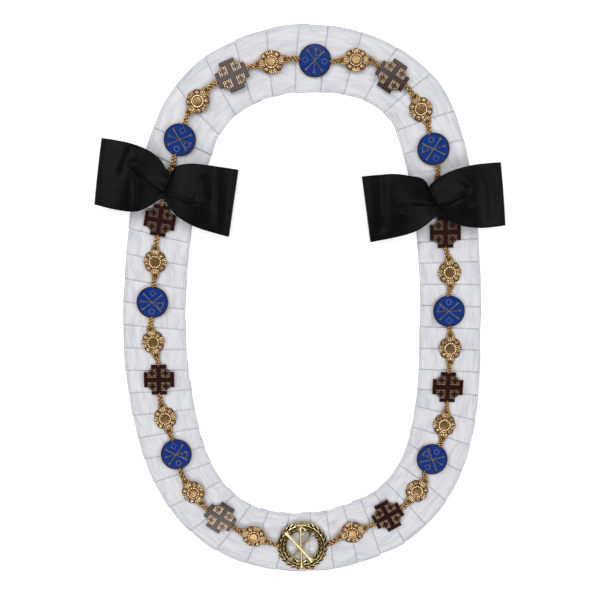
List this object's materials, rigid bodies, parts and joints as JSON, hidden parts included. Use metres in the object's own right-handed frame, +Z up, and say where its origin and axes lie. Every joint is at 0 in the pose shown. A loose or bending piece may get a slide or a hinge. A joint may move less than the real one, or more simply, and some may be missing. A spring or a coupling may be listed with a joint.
{
  "type": "regalia collar",
  "caption": "Ceremonial collar: closed loop of knife-pleated white moire ribbon carrying a chain of enamelled and gilt links, with a laurel wreath badge and black ribbon bows",
  "frame": {"origin": "centre of the bounding box's underside, on the surface that the collar lies on", "axes": "+Z up from that surface, +Y towards the neck end of the loop, +X to the right as the picture shows it"},
  "size_m": [0.3692, 0.5104, 0.0205],
  "materials": {
    "white_moire": "matt watered silk with a soft sheen",
    "black_moire": "black watered silk",
    "gilt": "bright cast gilt",
    "antique_gilt": "antiqued gilt with dark recesses",
    "blue_enamel": "glossy royal blue enamel on brass",
    "maroon_enamel": "glossy dark maroon enamel on brass"
  },
  "bodies": {
    "root": {"pleated_ribbon": "white_moire", "medallion_1": "blue_enamel", "medallion_2": "blue_enamel", "medallion_3": "blue_enamel", "medallion_4": "blue_enamel", "medallion_5": "blue_enamel", "medallion_6": "blue_enamel", "medallion_7": "blue_enamel", "cross_plate_1": "maroon_enamel", "cross_plate_2": "maroon_enamel", "cross_plate_3": "maroon_enamel", "cross_plate_4": "maroon_enamel", "cross_plate_5": "maroon_enamel", "cross_plate_6": "maroon_enamel", "cross_plate_7": "maroon_enamel", "cross_plate_8": "maroon_enamel", "rosette_01": "gilt", "rosette_02": "gilt", "rosette_03": "gilt", "rosette_04": "gilt", "rosette_05": "gilt", "rosette_06": "gilt", "rosette_07": "gilt", "rosette_08": "gilt", "rosette_09": "gilt", "rosette_10": "gilt", "rosette_11": "gilt", "rosette_12": "gilt", "rosette_13": "gilt", "rosette_14": "gilt", "rosette_15": "gilt", "rosette_16": "gilt", "wreath_badge": "antique_gilt", "bow_left": "black_moire", "bow_right": "black_moire"}
  },
  "joints": []
}
